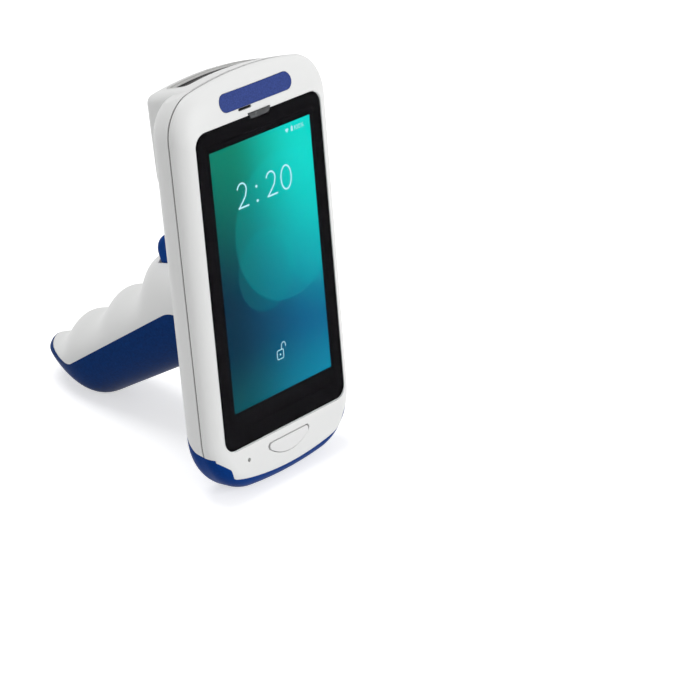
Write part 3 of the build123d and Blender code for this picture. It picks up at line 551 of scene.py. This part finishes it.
form = bmesh.new()
for left in (-14.7, 0.75):
    hook, foot = figure_two(left)
    ribbon(form, hook, stroke)
    ribbon(form, foot, stroke)
ribbon(form, arc(11.5, 28.8, 2.75, 4.3, 0, 350, 35), stroke, closed=True)
for z in (29.9, 24.7):
    ribbon(form, [(-4.45, z - 0.01), (-4.45, z + 0.01)], 1.1)
bmesh.ops.recalc_face_normals(form, faces=form.faces)
new_piece("clock_figures", form, pale, "terminal")

form = bmesh.new()
add_plate(form, [(14.1, 44.2)] + arc(14.1, 44.2, 1.35, 1.55, 45, 135, 8))
add_plate(form, [(16.3, 44.2), (17.3, 44.2), (17.3, 45.8), (17.05, 45.8), (17.05, 46.1),
                 (16.55, 46.1), (16.55, 45.8), (16.3, 45.8)])
ribbon(form, [(18.45, 44.3), (18.45, 45.75), (18.15, 45.5)], 0.17)
for left in (19.45, 20.85):
    ribbon(form, arc(left, 45.0, 0.46, 0.7, 0, 345, 23), 0.17, closed=True)
ribbon(form, [(21.9, 44.3), (22.9, 45.75)], 0.15)
for x, z in ((22.0, 45.45), (22.85, 44.6)):
    ribbon(form, arc(x, z, 0.22, 0.26, 0, 330, 11), 0.12, closed=True)
bmesh.ops.recalc_face_normals(form, faces=form.faces)
new_piece("status_signs", form, pale, "terminal")

form = bmesh.new()
lock_stroke = 0.3
ribbon(form, rounded_outline(-1.75, 1.65, -35.6, -32.3, 0.5, 4), lock_stroke, closed=True)
ribbon(form, [(-0.05, -33.99), (-0.05, -33.97)], 0.7)
shackle = arc(1.95, -31.0, 1.1, 1.15, 180, 20, 12)
ribbon(form, [(0.75, -32.2), (0.8, -31.2)] + shackle + [(3.05, -31.6)], lock_stroke)
bmesh.ops.recalc_face_normals(form, faces=form.faces)
new_piece("padlock_sign", form, pale, "terminal")

# ---------------------------------------------------------------------------
# Status lens
# Small frosted light guide in the top edge of the glass.
lens = moulded("status_lens", (0.05, 0.052, 0.055), 0.25, grain_depth=0.1, cloudiness=2.0,
               cloud_size=260.0, shine=0.3)
finish_node(lens, "status_lens")

# ---------------------------------------------------------------------------
# Badge plate
# Thin anodised plate in a recess of the brow, left bare.
badge = moulded("badge_plate", (0.030, 0.056, 0.235), 0.40, grain_size=900.0, grain_depth=0.35,
                cloudiness=1.0, cloud_size=1800.0, edge_rub_and_highlight=0.6, shine=0.1)
finish_node(badge, "badge_plate")

# ---------------------------------------------------------------------------
# Scan key
# White moulded key that stands a little proud of the chin.
key_plastic = moulded("key_plastic", (0.79, 0.79, 0.79), 0.36, shine=0.4)
finish_node(key_plastic, "scan_key")

# ---------------------------------------------------------------------------
# Scan window
# Silver-painted frame round a dark red-tinted window, with the engine behind it.
frame_paint = moulded("window_frame", (0.56, 0.56, 0.55), 0.35, grain_depth=0.1, edge_rub_and_highlight=0.4)
roof_slope = math.radians(11.0)
roof_middle = Vector((0, 18.9, 68.563))
crown_fall = 1 / 334
window_half_width = 20.75
window_half_depth = 5.25
side_steps = {8: 28, 17: 4, 26: 28, 35: 4}


def on_roof(u, v, w):
    """A place across, back along and square to the head's roof, w following its crown."""
    w -= u * u * crown_fall
    return roof_middle + Vector((u, v * math.cos(roof_slope) + w * math.sin(roof_slope),
                                 -v * math.sin(roof_slope) + w * math.cos(roof_slope)))


def roof_loop(side, near, far, radius, w):
    """The window's outline, drawn in at its sides, its near edge and its far edge.

    Each straight side starts at a point that side_steps names, and is cut into that many steps
    so that it follows the crown.
    """
    corners = rounded_outline(-window_half_width + side, window_half_width - side,
                              -window_half_depth + near, window_half_depth - far, radius)
    line = []
    for place, first in enumerate(corners):
        second = corners[(place + 1) % len(corners)]
        steps = side_steps.get(place, 1)
        for step in range(steps):
            share = step / steps
            line.append((first[0] + (second[0] - first[0]) * share,
                         first[1] + (second[1] - first[1]) * share))
    return [on_roof(u, v, w) for u, v in line]


form = bmesh.new()
add_loops(form, [roof_loop(*shape) for shape in (
    (0.0, 0.0, 0.0, 2.9, -2.4), (0.0, 0.0, 0.0, 2.9, -0.12), (0.1, 0.1, 0.1, 2.8, -0.02),
    (0.75, 0.4, 0.8, 2.3, -0.02), (0.85, 0.5, 0.95, 2.2, -0.12), (0.9, 0.55, 1.0, 2.1, -0.5),
    (1.5, 0.7, 1.9, 1.7, -0.55), (1.6, 0.75, 2.05, 1.6, -0.65), (1.7, 0.8, 2.3, 1.5, -1.3),
    (1.7, 0.8, 2.3, 1.5, -2.4))])
bmesh.ops.recalc_face_normals(form, faces=form.faces)
bezel = new_piece("window_rim", form, frame_paint, "terminal")
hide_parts("window_bezel")

window_glass = bpy.data.materials.new("window_glass")
window_glass.use_nodes = True
nodes = window_glass.node_tree.nodes
link = window_glass.node_tree.links.new
shader = nodes["Principled BSDF"]
shader.inputs["Base Color"].default_value = (0.006, 0.003, 0.004, 1)
shader.inputs["Specular IOR Level"].default_value = 0.004
place = nodes.new("ShaderNodeTexCoord")
smear = nodes.new("ShaderNodeTexNoise")
smear.inputs["Scale"].default_value = 80.0
film = nodes.new("ShaderNodeMapRange")
film.inputs["To Min"].default_value = 0.04
film.inputs["To Max"].default_value = 0.16
link(place.outputs["Object"], smear.inputs["Vector"])
link(smear.outputs["Fac"], film.inputs["Value"])
link(film.outputs["Result"], shader.inputs["Roughness"])

form = bmesh.new()
loops = [[form.verts.new(point) for point in roof_loop(*shape)] for shape in (
    (1.75, 0.85, 2.35, 1.5, -2.2), (1.75, 0.85, 2.35, 1.5, -0.95), (1.82, 0.92, 2.42, 1.4, -0.88))]
for first, second in zip(loops, loops[1:]):
    for step in range(len(first)):
        after = (step + 1) % len(first)
        form.faces.new((first[step], first[after], second[after], second[step]))
caps = [form.faces.new(loops[-1]), form.faces.new(loops[0][::-1])]
bmesh.ops.triangulate(form, faces=caps, ngon_method="BEAUTY")
bmesh.ops.recalc_face_normals(form, faces=form.faces)
pane = new_piece("window_pane", form, window_glass, "terminal")
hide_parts("scan_window")

# ---------------------------------------------------------------------------
# Gauze over the earpiece slot
# Woven steel wire, blackened, glued behind the slot in the brow to keep dust out, with a
# strip of dark felt behind it.
gauze = bpy.data.node_groups.new("woven_gauze", "GeometryNodeTree")
socket = gauze.interface.new_socket
for name, value in (("Width", 0.0065), ("Height", 0.0009), ("Pitch", 0.00024),
                    ("Wire Radius", 0.000065)):
    socket(name, in_out="INPUT", socket_type="NodeSocketFloat").default_value = value
socket("Finish", in_out="INPUT", socket_type="NodeSocketMaterial")
socket("Geometry", in_out="OUTPUT", socket_type="NodeSocketGeometry")
nodes = gauze.nodes
link = gauze.links.new
given = nodes.new("NodeGroupInput")
result = nodes.new("NodeGroupOutput")


def wires(length, spread_over, along_x):
    """One set of parallel wires, each waving over and under the set that crosses it."""
    pitch = given.outputs["Pitch"]
    line = nodes.new("GeometryNodeCurvePrimitiveLine")
    ends = []
    for sign in (-0.5, 0.5):
        end = nodes.new("ShaderNodeCombineXYZ")
        link(arithmetic(gauze, "MULTIPLY", length, sign), end.inputs["X" if along_x else "Z"])
        ends.append(end)
    link(ends[0].outputs[0], line.inputs["Start"])
    link(ends[1].outputs[0], line.inputs["End"])
    finer = nodes.new("GeometryNodeResampleCurve")
    finer.mode = "LENGTH"
    link(line.outputs["Curve"], finer.inputs["Curve"])
    link(arithmetic(gauze, "MULTIPLY", pitch, 0.25), finer.inputs["Length"])
    whole = arithmetic(gauze, "FLOOR", arithmetic(gauze, "DIVIDE", spread_over, pitch))
    count = arithmetic(gauze, "ADD", whole, 1)
    row = nodes.new("GeometryNodeMeshLine")
    row.mode = "OFFSET"
    step = nodes.new("ShaderNodeCombineXYZ")
    link(pitch, step.inputs["Z" if along_x else "X"])
    start = nodes.new("ShaderNodeCombineXYZ")
    reach = arithmetic(gauze, "MULTIPLY", arithmetic(gauze, "SUBTRACT", count, 1), pitch)
    link(arithmetic(gauze, "MULTIPLY", reach, -0.5), start.inputs["Z" if along_x else "X"])
    link(count, row.inputs["Count"])
    link(start.outputs[0], row.inputs["Start Location"])
    link(step.outputs[0], row.inputs["Offset"])
    placed = nodes.new("GeometryNodeInstanceOnPoints")
    link(row.outputs["Mesh"], placed.inputs["Points"])
    link(finer.outputs["Curve"], placed.inputs["Instance"])
    loose = nodes.new("GeometryNodeRealizeInstances")
    link(placed.outputs["Instances"], loose.inputs["Geometry"])
    where = nodes.new("GeometryNodeInputPosition")
    parts = nodes.new("ShaderNodeSeparateXYZ")
    link(where.outputs[0], parts.inputs[0])
    run, cross = ("X", "Z") if along_x else ("Z", "X")
    phase = arithmetic(gauze, "ADD", arithmetic(gauze, "DIVIDE", parts.outputs[run], pitch),
                       arithmetic(gauze, "DIVIDE", parts.outputs[cross], pitch))
    wave = arithmetic(gauze, "SINE", arithmetic(gauze, "MULTIPLY", phase, math.pi))
    lift = nodes.new("ShaderNodeCombineXYZ")
    share = 1.0 if along_x else -1.0
    swing = arithmetic(gauze, "MULTIPLY", wave, given.outputs["Wire Radius"])
    link(arithmetic(gauze, "MULTIPLY", swing, share), lift.inputs["Y"])
    woven = nodes.new("GeometryNodeSetPosition")
    link(loose.outputs["Geometry"], woven.inputs["Geometry"])
    link(lift.outputs[0], woven.inputs["Offset"])
    ring = nodes.new("GeometryNodeCurvePrimitiveCircle")
    ring.inputs["Resolution"].default_value = 6
    link(given.outputs["Wire Radius"], ring.inputs["Radius"])
    tube = nodes.new("GeometryNodeCurveToMesh")
    tube.inputs["Fill Caps"].default_value = True
    link(woven.outputs["Geometry"], tube.inputs["Curve"])
    link(ring.outputs["Curve"], tube.inputs["Profile Curve"])
    return tube.outputs["Mesh"]


both = nodes.new("GeometryNodeJoinGeometry")
link(wires(given.outputs["Width"], given.outputs["Height"], True), both.inputs[0])
link(wires(given.outputs["Height"], given.outputs["Width"], False), both.inputs[0])
solid = nodes.new("GeometryNodeRealizeInstances")
painted = nodes.new("GeometryNodeSetMaterial")
link(both.outputs[0], solid.inputs[0])
link(solid.outputs[0], painted.inputs["Geometry"])
link(given.outputs["Finish"], painted.inputs["Material"])
link(painted.outputs["Geometry"], result.inputs["Geometry"])

weaver = bpy.data.objects.new("gauze_weaver", bpy.data.meshes.new("gauze_weaver"))
bpy.context.scene.collection.objects.link(weaver)
modifier = weaver.modifiers.new("weave", "NODES")
modifier.node_group = gauze
for item in gauze.interface.items_tree:
    if item.in_out == "INPUT" and item.name == "Finish":
        modifier[item.identifier] = black_steel
    elif item.in_out == "INPUT":
        modifier[item.identifier] = item.default_value
woven = bpy.data.meshes.new_from_object(weaver.evaluated_get(bpy.context.evaluated_depsgraph_get()))
bpy.data.objects.remove(weaver)
slot_x, slot_z = -7.0, 58.8
gauze_middle = Vector((slot_x, 0.05, slot_z))
for vertex in woven.vertices:
    vertex.co = on_display(*(gauze_middle + vertex.co * 1000))
woven.name = "earpiece_gauze"
gauze_piece = bpy.data.objects.new("earpiece_gauze", woven)
bpy.context.scene.collection.objects.link(gauze_piece)
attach(gauze_piece, "terminal")

felt_size = Vector((6.6, 0.3, 0.94))
felt_middle = Vector((slot_x, 0.45, slot_z))
form = bmesh.new()
bmesh.ops.create_cube(form, size=1.0)
for vertex in form.verts:
    vertex.co = vertex.co * felt_size + felt_middle
bmesh.ops.bevel(form, geom=form.edges, offset=0.06, segments=2, affect="EDGES")
new_piece("earpiece_felt", form, gasket_rubber, "terminal")

# ---------------------------------------------------------------------------
# Boards, cells and other pieces inside the body
# Seen only when the part is taken apart: green boards, a wrapped cell, a copper coil.
inner_finishes = {
    "circuit_board": ((0.01, 0.10, 0.04), ("key_board", "main_board", "trigger_board")),
    "flex_film": ((0.45, 0.18, 0.03), ("display_flex", "antenna")),
    "black_parts": ((0.02, 0.02, 0.022), ("earpiece_speaker", "scan_engine", "battery_contacts",
                                          "trigger_switch")),
    "battery_wrap": ((0.30, 0.32, 0.34), ("battery_pack",)),
    "copper_wire": ((0.60, 0.22, 0.08), ("charging_coil",)),
    "ferrite_sheet": ((0.05, 0.05, 0.055), ("coil_ferrite",)),
}
for name, (colour, pieces) in inner_finishes.items():
    finish_node(moulded(name, colour, 0.5, grain_depth=0.3), *pieces)
